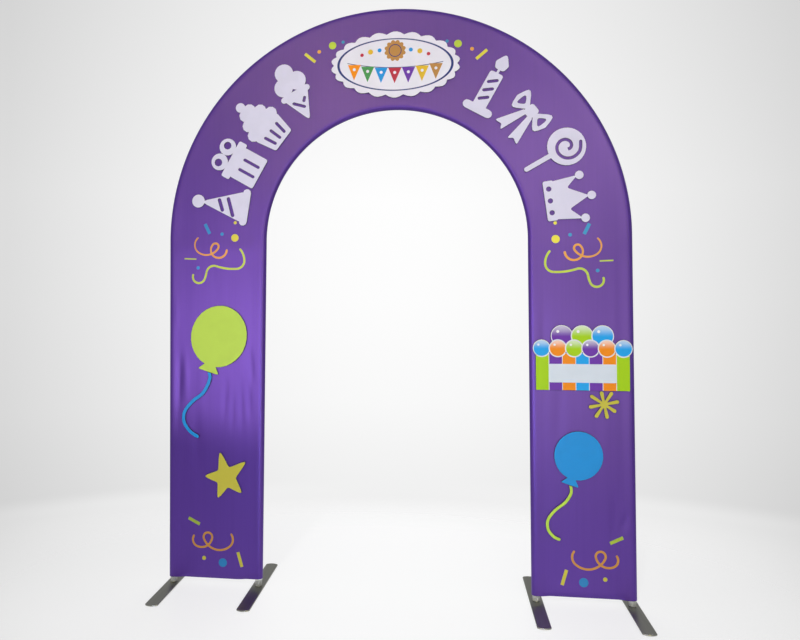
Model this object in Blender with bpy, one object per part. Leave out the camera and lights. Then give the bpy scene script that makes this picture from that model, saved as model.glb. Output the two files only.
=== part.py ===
"""Advertising arch: a stretch-fabric sleeve over a frame of two tube hoops, on four flat bar feet.

Metres, +Z up. The arch stands on z = 0, centred on x = 0 and y = 0, and its printed face looks along -Y.
"""

import math
from collections import namedtuple

import bmesh
import bpy
from mathutils import Matrix, Vector
from mathutils.geometry import delaunay_2d_cdt

# Driving sizes of the arch
OUTER_RADIUS = 0.915
INNER_RADIUS = 0.518
OUTER_SPRING_Z = 1.394
INNER_SPRING_Z = 1.384
INNER_SHIFT_X = 0.010

# The arch's middle line: its feet stand unevenly, and the whole part is centred on x = 0
ARCH_X = -0.0046

# The cloth, and the air between any two pieces
HEM_Z = 0.027
HEM_RISE = 0.006
CLOTH = 0.0015
GAP = 0.0003

# Tubes, spigots and feet
TUBE_RADIUS = 0.015
TUBE_WALL = 0.0012
TUBE_SIDES = 12
SPIGOT_RADIUS = 0.0135
SPIGOT_TOP_Z = 0.110
FOOT_WIDTH = 0.050
FOOT_LENGTH = 0.440
FOOT_THICKNESS = 0.005
FOOT_END_BULGE = 0.009
FOOT_CORNER = 0.006

# The half thickness of the covered frame, and the steps of its curves
COVER_RADIUS = TUBE_RADIUS + GAP + CLOTH
ARC_STEPS = 30
OUTER_ARC_PIECES = 3
INNER_ARC_PIECES = 2

# Heights of the cloth's rows up a leg, and the places of its columns from outer tube to inner tube
LEG_ROWS_Z = (0.12, 0.26, 0.42, 0.56, 0.68, 0.80, 0.92, 1.06, 1.22)
COLUMNS = (0.05, 0.13, 0.17, 0.22, 0.30, 0.55, 0.75, 0.87, 0.95)
HEM_COLUMNS = COLUMNS[1:-1]

# The cloth rolls under the bottom rail: height above the hem, and share of the full thickness
HEM_ROLL = ((0.0, 0.45), (0.004, 0.80), (0.010, 0.97), (0.017, 1.0))

# Soft troughs in the front of the legs, where the stretch runs unevenly
Trough = namedtuple("Trough", "x low_z high_z half_width depth")
TROUGHS = (
    Trough(-0.838, 0.60, 0.98, 0.016, 0.0030),
    Trough(-0.790, 0.40, 0.76, 0.022, 0.0016),
    Trough(-0.620, 0.55, 0.90, 0.030, 0.0014),
    Trough(0.640, 0.55, 0.90, 0.030, 0.0010),
    Trough(0.840, 0.22, 0.46, 0.020, 0.0012),
)

# Raised boards on the front
BOARD = 0.005
CARD = 0.001
BOARD_BACK_Y = -(COVER_RADIUS + GAP)
CARD_BACK_Y = BOARD_BACK_Y - BOARD - GAP
MOTIF_RADIUS = 0.705
MOTIF_SCALE = 1.15
BALLOON_TAIL = math.radians(-107)
LEFT_STRING = (
    (-0.7415, 0.862), (-0.7355, 0.826), (-0.762, 0.771), (-0.806, 0.736),
    (-0.840, 0.693), (-0.842, 0.650), (-0.817, 0.614), (-0.786, 0.594),
)
RIGHT_STRING = (
    (0.6735, 0.456), (0.6775, 0.420), (0.656, 0.384), (0.618, 0.352),
    (0.592, 0.316), (0.592, 0.280), (0.612, 0.254), (0.632, 0.245),
)

LAVENDER = (0.80, 0.76, 0.92)
WHITE = (0.86, 0.86, 0.88)
LIME = (0.45, 0.62, 0.05)
BLUE = (0.03, 0.32, 0.72)
YELLOW = (0.62, 0.58, 0.05)
PURPLE = (0.16, 0.06, 0.40)
STEEL_GREY = (0.16, 0.16, 0.15)
SILVER = (0.75, 0.76, 0.77)


# Scene, materials and finished objects


def clear_scene():
    for obj in list(bpy.data.objects):
        bpy.data.objects.remove(obj, do_unlink=True)


def make_material(name, colour, roughness, metallic=0.0):
    material = bpy.data.materials.new(name)
    material.use_nodes = True
    shader = material.node_tree.nodes["Principled BSDF"]
    shader.inputs["Base Color"].default_value = (*colour, 1.0)
    shader.inputs["Roughness"].default_value = roughness
    shader.inputs["Metallic"].default_value = metallic
    return material


def add_object(name, bm, material, smooth=True):
    """Turns the bmesh into an object in the scene, shaded smooth up to its sharp edges."""
    mesh = bpy.data.meshes.new(name)
    bm.to_mesh(mesh)
    bm.free()
    mesh.materials.append(material)
    obj = bpy.data.objects.new(name, mesh)
    bpy.context.scene.collection.objects.link(obj)
    if smooth:
        mesh.shade_smooth()
        mesh.set_sharp_from_angle(angle=math.radians(40))
    return obj


# The two hoops


class Hoop:
    """The centre line of one bent tube: two legs and the half circle between them."""

    def __init__(self, name, radius, centre_x, spring_z, left_drift, right_drift):
        self.name = name
        self.radius = radius
        self.centre_x = centre_x
        self.spring_z = spring_z
        self.drift = {-1: left_drift, 1: right_drift}

    def leg(self, side, z):
        """The point of a leg at height z. Its foot stands off the plumb line by the drift."""
        top_x = self.centre_x + side * self.radius
        return Vector((top_x + self.drift[side] * (1 - z / self.spring_z), 0, z))

    def arc(self, angle):
        return Vector((self.centre_x, 0, self.spring_z)) + self.radius * outward_at(angle)


def outward_at(angle):
    """The direction away from the arch's centre, for an angle from +X."""
    return Vector((math.cos(angle), 0, math.sin(angle)))


OUTER_HOOP = Hoop("outer", OUTER_RADIUS - COVER_RADIUS, ARCH_X, OUTER_SPRING_Z, 0.010, 0.001)
INNER_HOOP = Hoop("inner", INNER_RADIUS + COVER_RADIUS, ARCH_X + INNER_SHIFT_X, INNER_SPRING_Z, -0.010, 0.003)
SIDES = {-1: "left", 1: "right"}


# Lofted bodies


def bridge(bm, lower, upper):
    count = len(lower)
    for i in range(count):
        j = (i + 1) % count
        bm.faces.new((lower[i], lower[j], upper[j], upper[i]))


def add_rings(bm, rings):
    """Adds each ring of points and the skin between them, and returns the vertices of the rings."""
    made = [[bm.verts.new(point) for point in ring] for ring in rings]
    for lower, upper in zip(made, made[1:]):
        bridge(bm, lower, upper)
    return made


def round_ring(centre, across, radius):
    """The corners of a tube's section, in the plane of `across` and Y."""
    turns = [2 * math.pi * i / TUBE_SIDES for i in range(TUBE_SIDES)]
    depth = Vector((0, 1, 0))
    return [centre + radius * (math.cos(a) * across + math.sin(a) * depth) for a in turns]


def closed_loft(name, rings, material, smooth=True):
    """A body through rings of points, with a flat face at each end."""
    bm = bmesh.new()
    made = add_rings(bm, rings)
    bm.faces.new(made[0])
    bm.faces.new(made[-1])
    bmesh.ops.recalc_face_normals(bm, faces=bm.faces)
    return add_object(name, bm, material, smooth)


def hollow_tube(name, stations, material):
    """A tube through the stations, each a centre and a direction across the tube."""
    bm = bmesh.new()
    bore = TUBE_RADIUS - TUBE_WALL
    outside = add_rings(bm, [round_ring(c, across, TUBE_RADIUS) for c, across in stations])
    inside = add_rings(bm, [round_ring(c, across, bore) for c, across in stations])
    bridge(bm, outside[0], inside[0])
    bridge(bm, outside[-1], inside[-1])
    bmesh.ops.recalc_face_normals(bm, faces=bm.faces)
    return add_object(name, bm, material)


def build_legs(hoop, material):
    across = Vector((1, 0, 0))
    low_z = HEM_Z + CLOTH + GAP
    for side, word in SIDES.items():
        ends = (low_z, hoop.spring_z - GAP / 2)
        hollow_tube(f"{hoop.name}_leg_{word}", [(hoop.leg(side, z), across) for z in ends], material)


def build_arcs(hoop, pieces, material):
    """The half circle in equal bent tubes, a hair apart where they plug together."""
    steps = ARC_STEPS // pieces
    half_gap = GAP / 2 / hoop.radius
    for piece in range(pieces):
        angles = [math.pi - math.pi * (piece * steps + i) / ARC_STEPS for i in range(steps + 1)]
        angles[0] -= half_gap
        angles[-1] += half_gap
        stations = [(hoop.arc(a), outward_at(a)) for a in angles]
        hollow_tube(f"{hoop.name}_arc_{piece + 1}", stations, material)


def build_cross_tubes(name, z, material):
    """A rail between the outer and the inner leg on each side, cut flat a hair short of both."""
    across = Vector((0, 0, 1))
    for side, word in SIDES.items():
        reach = Vector((side * (TUBE_RADIUS + GAP), 0, 0))
        ends = (OUTER_HOOP.leg(side, z) - reach, INNER_HOOP.leg(side, z) + reach)
        hollow_tube(f"{name}_{word}", [(end, across) for end in ends], material)


# The cover


def trough_depth(x, z):
    """How far the front of the cloth is drawn in, at x from the arch's middle line and height z."""
    total = 0.0
    for trough in TROUGHS:
        along = (z - trough.low_z) / (trough.high_z - trough.low_z)
        if 0 < along < 1:
            bell = math.exp(-(((x - trough.x) / trough.half_width) ** 2))
            total += trough.depth * bell * math.sin(math.pi * along) ** 2
    return total


def half_turn_round(centre, outward, radius):
    """Half a tube's section on its outward side, from the front over to the back."""
    turns = [math.radians(angle) for angle in range(-90, 91, 360 // TUBE_SIDES)]
    depth = Vector((0, 1, 0))
    return [centre + radius * (math.cos(a) * outward + math.sin(a) * depth) for a in turns]


def flat_point(outer, inner, share, side, inset, roll, rise):
    """A point of the cloth between the tubes: side is -1 on the front and 1 on the back."""
    point = outer.lerp(inner, share)
    thickness = COVER_RADIUS
    if share in HEM_COLUMNS:
        point.z += rise
        thickness *= roll
    point.y = side * (thickness - inset)
    if side < 0:
        point.y += trough_depth(point.x - ARCH_X, point.z)
    return point


def cover_ring(outer, inner, outward, inset, roll=1.0, rise=0.0):
    """One closed section of the sleeve: round the outer tube, along the back, round the inner tube, along
    the front. `roll` is the share of the thickness left between the tubes, and `rise` lifts that stretch."""
    radius = COVER_RADIUS - inset
    back = [flat_point(outer, inner, share, 1, inset, roll, rise) for share in COLUMNS]
    front = [flat_point(outer, inner, share, -1, inset, roll, rise) for share in COLUMNS]
    round_outer = half_turn_round(outer, outward, radius)
    round_inner = half_turn_round(inner, -outward, radius)
    return [*round_outer, *back, *reversed(round_inner), *reversed(front)]


def leg_rings(side, inset):
    """The sections of one leg, from the hem up."""
    outward = Vector((side, 0, 0))
    rows = [(HEM_Z + max(height, inset), roll, HEM_RISE) for height, roll in HEM_ROLL]
    rows += [(z, 1.0, 0.0) for z in LEG_ROWS_Z]
    return [
        cover_ring(OUTER_HOOP.leg(side, z), INNER_HOOP.leg(side, z), outward, inset, roll, rise)
        for z, roll, rise in rows
    ]


def cover_skin(bm, inset):
    """One skin of the sleeve, from the left hem over the arch to the right hem, closed under both legs."""
    rings = leg_rings(-1, inset)
    for step in range(ARC_STEPS + 1):
        angle = math.pi * (1 - step / ARC_STEPS)
        rings.append(cover_ring(OUTER_HOOP.arc(angle), INNER_HOOP.arc(angle), outward_at(angle), inset))
    rings += reversed(leg_rings(1, inset))
    made = add_rings(bm, rings)
    for end in (made[0], made[-1]):
        close_hem(bm, end)


def close_hem(bm, ring):
    """Faces under a leg: one under each tube, and strips from back to front between them."""
    corner = TUBE_SIDES // 2 + 1
    columns = len(COLUMNS)
    outer_arc = ring[:corner]
    back = ring[corner : corner + columns]
    inner_arc = ring[corner + columns : 2 * corner + columns]
    front = ring[2 * corner + columns :][::-1]
    back = [outer_arc[-1], *back, inner_arc[0]]
    front = [outer_arc[0], *front, inner_arc[-1]]
    bm.faces.new(outer_arc)
    bm.faces.new(inner_arc)
    for i in range(columns + 1):
        bm.faces.new((back[i], back[i + 1], front[i + 1], front[i]))


def build_cover(material):
    bm = bmesh.new()
    cover_skin(bm, 0.0)
    bmesh.ops.recalc_face_normals(bm, faces=bm.faces)
    outside = set(bm.faces)
    cover_skin(bm, CLOTH)
    inside = [face for face in bm.faces if face not in outside]
    bmesh.ops.recalc_face_normals(bm, faces=inside)
    bmesh.ops.reverse_faces(bm, faces=inside)
    cover = add_object("cover", bm, material)
    for hoop in (OUTER_HOOP, INNER_HOOP):
        for side in SIDES:
            cut_spigot_hole(cover, hoop.leg(side, HEM_Z))


def cut_spigot_hole(cover, centre):
    reach = Vector((0, 0, 0.010))
    across = Vector((1, 0, 0))
    rings = [round_ring(end, across, SPIGOT_RADIUS + GAP) for end in (centre - reach, centre + reach)]
    cutter = closed_loft("spigot_hole", rings, cover.data.materials[0])
    cutter.hide_render = True
    cutter.display_type = "WIRE"
    hole = cover.modifiers.new("Spigot hole", "BOOLEAN")
    hole.operation = "DIFFERENCE"
    hole.object = cutter


# Spigots and feet


def foot_outline():
    """A flat bar seen from above: straight sides, and ends that bulge a little between rounded corners."""
    half_width = FOOT_WIDTH / 2
    bulge_radius = (half_width**2 + FOOT_END_BULGE**2) / (2 * FOOT_END_BULGE)
    spread = math.asin(half_width / bulge_radius)
    centre_y = FOOT_LENGTH / 2 - bulge_radius
    steps = 8
    angles = [spread * (1 - 2 * i / steps) for i in range(steps + 1)]
    end = [(bulge_radius * math.sin(a), centre_y + bulge_radius * math.cos(a)) for a in angles]
    return rounded(end + [(-x, -y) for x, y in end], FOOT_CORNER, sharp_only=True)


def build_feet(foot_material, spigot_material):
    across = Vector((1, 0, 0))
    for hoop in (OUTER_HOOP, INNER_HOOP):
        for side, word in SIDES.items():
            x = hoop.leg(side, 0).x
            rings = [[(x + dx, dy, z) for dx, dy in foot_outline()] for z in (0, FOOT_THICKNESS)]
            closed_loft(f"{hoop.name}_foot_{word}", rings, foot_material, smooth=False)
            ends = (FOOT_THICKNESS + GAP, SPIGOT_TOP_Z)
            rings = [round_ring(hoop.leg(side, z), across, SPIGOT_RADIUS) for z in ends]
            closed_loft(f"{hoop.name}_spigot_{word}", rings, spigot_material)


# Flat outlines, as lists of (x, z) points


def on_circle(x, z, radius, angle):
    return (x + radius * math.cos(angle), z + radius * math.sin(angle))


def turned_about(centre, x, z, angle):
    """The point x ahead and z to the left of a centre, when ahead is at an angle."""
    cosine, sine = math.cos(angle), math.sin(angle)
    return (centre[0] + x * cosine - z * sine, centre[1] + x * sine + z * cosine)


def disc(x, z, radius, steps=20):
    return [on_circle(x, z, radius, 2 * math.pi * i / steps) for i in range(steps)]


def bar(start, end, width, end_width=None, steps=5):
    """A straight bar with round ends. It may widen or narrow towards its end."""
    along = Vector(end) - Vector(start)
    heading = math.atan2(along.y, along.x)
    points = []
    for tip, turn, tip_width in (
        (end, heading - math.pi / 2, end_width or width),
        (start, heading + math.pi / 2, width),
    ):
        points += [on_circle(*tip, tip_width / 2, turn + math.pi * i / steps) for i in range(steps + 1)]
    return points


def box(x, z, width, height, radius):
    w, h = width / 2, height / 2
    return rounded([(x - w, z - h), (x + w, z - h), (x + w, z + h), (x - w, z + h)], radius)


def rounded(points, radius, steps=3, sharp_only=False):
    """The outline with each corner turned into a short curve. Nearly straight corners may be left alone."""
    corners = [Vector(point) for point in points]
    result = []
    for before, corner, after in zip(corners[-1:] + corners[:-1], corners, corners[1:] + corners[:1]):
        to_before, to_after = before - corner, after - corner
        inside = to_before.angle(to_after)
        if sharp_only and inside > math.radians(150):
            result.append(tuple(corner))
            continue
        reach = min(radius / math.tan(inside / 2), to_before.length * 0.49, to_after.length * 0.49)
        start = corner + to_before.normalized() * reach
        stop = corner + to_after.normalized() * reach
        for i in range(steps + 1):
            t = i / steps
            result.append(tuple(start * (1 - t) ** 2 + corner * 2 * t * (1 - t) + stop * t**2))
    return result


def smooth_line(points, steps=5):
    """Points along a smooth curve through the given ones."""
    knots = [Vector(point) for point in (points[0], *points, points[-1])]
    line = []
    for p0, p1, p2, p3 in zip(knots, knots[1:], knots[2:], knots[3:]):
        for i in range(steps):
            t = i / steps
            bend = (2 * p0 - 5 * p1 + 4 * p2 - p3) * t**2 + (3 * p1 - p0 - 3 * p2 + p3) * t**3
            line.append(p1 + ((p2 - p0) * t + bend) / 2)
    return [*line, knots[-1]]


def ribbon(points, width):
    """A strip of even width along a smooth curve, cut straight at its start and round at its end."""
    line = smooth_line(points)
    left, right = [], []
    for before, point, after in zip([line[0], *line], line, [*line[1:], line[-1]]):
        along = (after - before).normalized()
        side = Vector((-along.y, along.x)) * width / 2
        left.append(tuple(point + side))
        right.append(tuple(point - side))
    heading = math.atan2(*(line[-1] - line[-2]).yx) - math.pi / 2
    end = [on_circle(*line[-1], width / 2, heading + math.pi * i / 5) for i in range(1, 5)]
    return right + end + left[::-1]


def flipped(outline, side):
    """The outline, mirrored to the other side of its upright middle line where side is -1."""
    return [(side * x, z) for x, z in outline]


def turned_left(outline):
    """The outline, running anticlockwise."""
    doubled_area = sum(a[0] * b[1] - b[0] * a[1] for a, b in zip(outline, [*outline[1:], outline[0]]))
    return outline if doubled_area > 0 else outline[::-1]


# Boards cut from flat outlines


def plate(
    name, material, solid, cut=(), centre=(0, 0), turn=0.0, scale=1.0, back_y=BOARD_BACK_Y, thickness=BOARD
):
    """A flat board whose outline is all the solid outlines together, less the cut ones. Its centre is
    measured from the arch's middle line, its back stands in y = back_y, and it is thickened forwards."""
    points, faces = [], []
    for outline in map(turned_left, [*solid, *cut]):
        faces.append(list(range(len(points), len(points) + len(outline))))
        points += [Vector(point) for point in outline]
    flat, _, pieces, _, _, sources = delaunay_2d_cdt(points, [], faces, 1, 1e-6)
    place = Matrix.Translation((ARCH_X + centre[0], back_y, centre[1])) @ Matrix.Rotation(-turn, 4, "Y")
    bm = bmesh.new()
    verts = [bm.verts.new(place @ Vector((scale * x, 0, scale * z))) for x, z in flat]
    for piece, source in zip(pieces, sources):
        if source and max(source) < len(solid):
            bm.faces.new([verts[i] for i in piece])
    bmesh.ops.delete(bm, geom=[vert for vert in bm.verts if not vert.link_faces], context="VERTS")
    bmesh.ops.recalc_face_normals(bm, faces=bm.faces)
    if next(iter(bm.faces)).normal.y > 0:
        bmesh.ops.reverse_faces(bm, faces=bm.faces)
    board = add_object(name, bm, material, smooth=False)
    wall = board.modifiers.new("Thickness", "SOLIDIFY")
    wall.thickness = thickness
    wall.offset = 1.0
    return board


# The eight party shapes on the arch, each as (solid outlines, cut outlines) about its own middle


def party_hat():
    cone = rounded([(-0.056, -0.080), (0.056, -0.080), (0.0, 0.082)], 0.010)
    brim = bar((-0.051, -0.086), (0.051, -0.086), 0.030)
    bobble = disc(0.0, 0.086, 0.024)
    stripes = [bar((-0.034, -0.046), (0.022, -0.022), 0.011), bar((-0.020, -0.006), (0.014, 0.010), 0.011)]
    return [cone, brim, bobble], stripes


def gift_box():
    body = box(0.0, -0.052, 0.116, 0.098, 0.008)
    lid = box(0.0, 0.008, 0.140, 0.034, 0.008)
    loops = [disc(side * 0.030, 0.052, 0.031) for side in SIDES]
    holes = [disc(side * 0.034, 0.055, 0.013, 12) for side in SIDES]
    ribbon_gaps = [bar((side * 0.019, -0.082), (side * 0.019, -0.026), 0.009) for side in SIDES]
    return [body, lid, *loops], holes + ribbon_gaps


def cupcake():
    case = rounded([(-0.046, -0.105), (0.046, -0.105), (0.064, -0.020), (-0.064, -0.020)], 0.010)
    icing = [bar((-w, z), (w, z), 0.046) for w, z in ((0.050, -0.006), (0.034, 0.030), (0.012, 0.062))]
    cherry = disc(0.0, 0.094, 0.018)
    pleats = [bar((x, -0.086), (x * 1.25, -0.046), 0.009) for x in (-0.026, 0.0, 0.026)]
    return [case, *icing, cherry], pleats


def ice_cream():
    cone = rounded([(-0.050, -0.006), (0.0, -0.116), (0.050, -0.006)], 0.009)
    rim = bar((-0.046, -0.006), (0.046, -0.006), 0.024)
    scoops = [disc(-0.026, 0.034, 0.034), disc(0.027, 0.034, 0.034), disc(0.0, 0.078, 0.034)]
    waffle = [bar((-0.022, -0.034), (0.006, -0.062), 0.009), bar((0.022, -0.034), (0.014, -0.043), 0.009)]
    return [cone, rim, *scoops], waffle


def candle():
    stick = box(0.0, -0.020, 0.050, 0.132, 0.010)
    saucer = bar((-0.040, -0.092), (0.040, -0.092), 0.030)
    wick = box(0.0, 0.052, 0.010, 0.030, 0.002)
    flame = rounded([(0.0, 0.120), (-0.025, 0.080), (-0.017, 0.056), (0.017, 0.056), (0.025, 0.080)], 0.012)
    twists = [bar((-0.012, z), (0.012, z + 0.016), 0.009) for z in (-0.058, -0.026, 0.006)]
    return [stick, saucer, wick, flame], twists


def bow():
    knot = box(0.0, 0.016, 0.040, 0.044, 0.012)
    loop = ((0.008, 0.016), (0.062, 0.070), (0.074, 0.016), (0.058, -0.032))
    tail = ((0.002, 0.010), (0.022, 0.002), (0.058, -0.094), (0.032, -0.086), (0.018, -0.104))
    eye = ((0.032, 0.017), (0.056, 0.042), (0.056, -0.006))
    loops = [rounded(flipped(loop, side), 0.016) for side in SIDES]
    tails = [rounded(flipped(tail, side), 0.005) for side in SIDES]
    eyes = [rounded(flipped(eye, side), 0.007) for side in SIDES]
    return [knot, *loops, *tails], eyes


def lollipop():
    sweet = disc(0.0, 0.042, 0.064, 32)
    stick = bar((0.0, -0.108), (0.0, -0.014), 0.018)
    turns = [(0.010 + 0.0105 * k / 3, 2 * math.pi * k / 9) for k in range(12)]
    swirl = ribbon([(r * math.cos(a), 0.042 + r * math.sin(a)) for r, a in turns], 0.009)
    return [sweet, stick], [swirl]


def crown():
    band = box(0.0, -0.070, 0.136, 0.036, 0.008)
    half = [(0.0, 0.058), (0.036, -0.010), (0.074, 0.030), (0.064, -0.062)]
    peaks = rounded([*half, *flipped(half[:0:-1], -1)], 0.005)
    beads = [disc(x, z, 0.015, 16) for x, z in ((-0.072, 0.034), (0.0, 0.064), (0.072, 0.034))]
    jewels = [disc(x, -0.070, 0.008, 10) for x in (-0.040, 0.0, 0.040)]
    return [band, peaks, *beads], jewels


# Where each party shape stands along the arch: its angle from +X, and how far it leans from upright
Place = namedtuple("Place", "name shape angle lean")
MOTIFS = (
    Place("motif_party_hat", party_hat, 168.5, 3.0),
    Place("motif_gift_box", gift_box, 153.5, -3.0),
    Place("motif_cupcake", cupcake, 138.5, 4.0),
    Place("motif_ice_cream", ice_cream, 123.5, -4.0),
    Place("motif_candle", candle, 56.5, 4.0),
    Place("motif_bow", bow, 41.5, -3.0),
    Place("motif_lollipop", lollipop, 26.5, 3.0),
    Place("motif_crown", crown, 11.5, -4.0),
)


def build_motifs(material):
    for place in MOTIFS:
        angle = math.radians(place.angle)
        centre = (MOTIF_RADIUS * math.cos(angle), OUTER_SPRING_Z + MOTIF_RADIUS * math.sin(angle))
        solid, cut = place.shape()
        turn = angle - math.pi / 2 + math.radians(place.lean)
        plate(place.name, material, solid, cut, centre, turn, MOTIF_SCALE)


# The other boards


def scalloped_oval(half_width, half_height, scallops, depth, steps=5):
    count = scallops * steps
    points = []
    for i in range(count):
        angle = 2 * math.pi * i / count
        swell = depth * abs(math.sin(scallops * angle / 2))
        points.append(((half_width + swell) * math.cos(angle), (half_height + swell) * math.sin(angle)))
    return points


def build_plaque(material):
    outline = scalloped_oval(0.246, 0.122, 22, 0.012)
    plate("header_plaque", material, [outline], centre=(0.016, 2.078), turn=math.radians(-1.2))


def build_balloon(name, centre, radius, stretch, string, string_width, balloon_material, string_material):
    """A round balloon, a little longer than wide, with its flared neck hanging to the left, and its string as
    a board of its own that stops at the neck. The outline is drawn for a radius of 1, with the tail along +X."""
    body = [(stretch * x, z) for x, z in disc(0, 0, 1.0, 32)]
    neck_end, neck_half_width = 1.28, 0.41
    neck = rounded([(0.78, 0.0), (neck_end, -neck_half_width), (neck_end, neck_half_width)], 0.05)
    plate(name, balloon_material, [body, neck], (), centre, BALLOON_TAIL, radius)
    reach = radius * neck_end + GAP + 0.0003
    covered = [turned_about(centre, x, z, BALLOON_TAIL) for x, z in box(0, 0, 2 * reach, radius, 0.001)]
    plate(f"{name}_string", string_material, [ribbon(string, string_width)], [covered])


def build_star(material):
    """A five-pointed star, cut by hand: its arms are not all as long as each other."""
    waist = 0.0415
    arms = ((104, 0.118), (179, 0.099), (249, 0.103), (317, 0.102), (38, 0.119))
    points = []
    for (angle, reach), (next_angle, _) in zip(arms, arms[1:] + arms[:1]):
        half_way = angle + (next_angle - angle) % 360 / 2
        points.append(on_circle(0, 0, reach, math.radians(angle)))
        points.append(on_circle(0, 0, waist, math.radians(half_way)))
    plate("star", material, [rounded(points, 0.010)], centre=(-0.666, 0.4345))


def build_flower(material):
    """Eight uneven petals, each widest near its tip."""
    first_petal = 12
    reaches = (0.0485, 0.0485, 0.0425, 0.0530, 0.0505, 0.0525, 0.0475, 0.0445)
    tips = [on_circle(0, 0, reach, math.radians(first_petal + 45 * i)) for i, reach in enumerate(reaches)]
    petals = [bar((0, 0), tip, 0.0095, 0.0155) for tip in tips]
    plate("flower", material, [disc(0, 0, 0.0155, 16), *petals], centre=(0.801, 0.7530))


def build_party_board(board_material, card_material):
    """A board with a row of round balloons standing on it, and a blank card to write on."""
    middle_x = 0.7235
    base = box(0.0, 0.0, 0.345, 0.142, 0.004)
    low_row = [disc(0.060 * i - 0.150, 0.088, 0.034) for i in range(6)]
    high_row = [disc(0.075 * i - 0.075, 0.135, 0.042, 24) for i in range(3)]
    plate("party_board", board_material, [base, *low_row, *high_row], centre=(middle_x, 0.874))
    card = box(0.0, 0.0, 0.246, 0.070, 0.006)
    plate("name_card", card_material, [card], centre=(middle_x, 0.868), back_y=CARD_BACK_Y, thickness=CARD)


def main():
    clear_scene()
    cloth = make_material("cover_cloth", PURPLE, 0.75)
    tube = make_material("frame_tube", SILVER, 0.35, 1.0)
    steel = make_material("foot_steel", STEEL_GREY, 0.35, 1.0)
    bright = make_material("spigot_steel", SILVER, 0.20, 1.0)
    lavender = make_material("lavender_board", LAVENDER, 0.45)
    white = make_material("white_board", WHITE, 0.40)
    lime = make_material("lime_board", LIME, 0.45)
    blue = make_material("blue_board", BLUE, 0.45)
    yellow = make_material("yellow_board", YELLOW, 0.45)

    build_cover(cloth)
    for hoop, pieces in ((OUTER_HOOP, OUTER_ARC_PIECES), (INNER_HOOP, INNER_ARC_PIECES)):
        build_legs(hoop, tube)
        build_arcs(hoop, pieces, tube)
    rail_z = HEM_Z + HEM_RISE + COVER_RADIUS
    build_cross_tubes("bottom_rail", rail_z, tube)
    build_cross_tubes("spring_bar", INNER_SPRING_Z - 0.03, tube)
    build_feet(steel, bright)

    build_motifs(lavender)
    build_plaque(white)
    build_balloon("balloon_left", (-0.699, 0.9975), 0.117, 1.075, LEFT_STRING, 0.015, lime, blue)
    build_balloon("balloon_right", (0.706, 0.558), 0.090, 1.03, RIGHT_STRING, 0.0125, blue, lime)
    build_star(yellow)
    build_flower(yellow)
    build_party_board(lime, white)


main()
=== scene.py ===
"""Looks of a walk-through party arch: its sleeve of printed stretch cloth, the metal of its frame and feet,
its raised boards, and a plain pale studio. Metres, +Z up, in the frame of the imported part, which stands on
z = 0 with its printed face along -Y.

The file is laid out as an add-on: each group of pieces has an operator, and the panel lists them.
"""

import math
from collections import namedtuple

import bmesh
import bpy
from bpy.props import FloatProperty, FloatVectorProperty, PointerProperty
from mathutils import Matrix, Vector, noise


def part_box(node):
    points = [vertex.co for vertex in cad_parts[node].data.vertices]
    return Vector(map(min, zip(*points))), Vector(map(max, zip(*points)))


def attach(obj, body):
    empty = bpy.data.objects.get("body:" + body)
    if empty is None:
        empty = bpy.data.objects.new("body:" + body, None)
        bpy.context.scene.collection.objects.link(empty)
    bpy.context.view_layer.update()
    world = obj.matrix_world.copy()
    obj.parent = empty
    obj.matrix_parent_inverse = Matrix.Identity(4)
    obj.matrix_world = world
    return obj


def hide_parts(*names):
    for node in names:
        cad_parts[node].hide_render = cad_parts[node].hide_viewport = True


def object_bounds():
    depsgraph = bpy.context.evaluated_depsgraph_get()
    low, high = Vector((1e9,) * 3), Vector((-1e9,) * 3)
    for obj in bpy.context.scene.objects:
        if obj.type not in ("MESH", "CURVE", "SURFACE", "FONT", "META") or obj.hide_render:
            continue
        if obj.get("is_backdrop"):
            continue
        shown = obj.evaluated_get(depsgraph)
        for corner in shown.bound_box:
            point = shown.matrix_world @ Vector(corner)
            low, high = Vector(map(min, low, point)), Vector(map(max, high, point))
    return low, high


bl_info = {
    "name": "Party arch looks",
    "version": (1, 0, 0),
    "blender": (4, 5, 0),
    "location": "3D View > Sidebar > Arch",
    "description": "Makes the cloth, boards, metal and studio of a walk-through party arch",
    "category": "Object",
}

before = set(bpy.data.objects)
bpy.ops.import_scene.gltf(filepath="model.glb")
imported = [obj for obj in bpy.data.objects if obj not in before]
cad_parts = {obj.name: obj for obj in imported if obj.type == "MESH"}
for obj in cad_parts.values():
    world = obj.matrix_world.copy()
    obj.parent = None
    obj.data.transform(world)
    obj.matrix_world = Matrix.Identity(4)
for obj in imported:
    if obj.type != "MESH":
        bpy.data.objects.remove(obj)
CAD_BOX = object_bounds()
SIDES = {-1: "left", 1: "right"}


# Sizes read from the frame


def middle(node):
    low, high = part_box(node)
    return (low + high) / 2


Hoop = namedtuple("Hoop", "name centre_x radius spring_z foot_x")


def measured_hoop(name, pieces):
    """The centre line of one bent tube: a half circle on two legs that run to the feet."""
    left_end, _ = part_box(f"{name}_arc_1")
    _, right_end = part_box(f"{name}_arc_{pieces}")
    _, leg_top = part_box(f"{name}_leg_left")
    feet = {side: middle(f"{name}_foot_{word}").x for side, word in SIDES.items()}
    span = right_end.x - left_end.x - 2 * TUBE_RADIUS
    return Hoop(name, (left_end.x + right_end.x) / 2, span / 2, leg_top.z, feet)


TUBE_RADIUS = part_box("outer_leg_left")[1].y
SPIGOT_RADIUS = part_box("outer_spigot_left")[1].y
COVER_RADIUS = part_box("cover")[1].y
HEM_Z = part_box("cover")[0].z
OUTER_HOOP = measured_hoop("outer", 3)
INNER_HOOP = measured_hoop("inner", 2)
ARCH_X = OUTER_HOOP.centre_x
RAIL_Z = middle("bottom_rail_left").z
SPRING_BAR_Z = middle("spring_bar_left").z
HEM_RISE = RAIL_Z - COVER_RADIUS - HEM_Z


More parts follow.
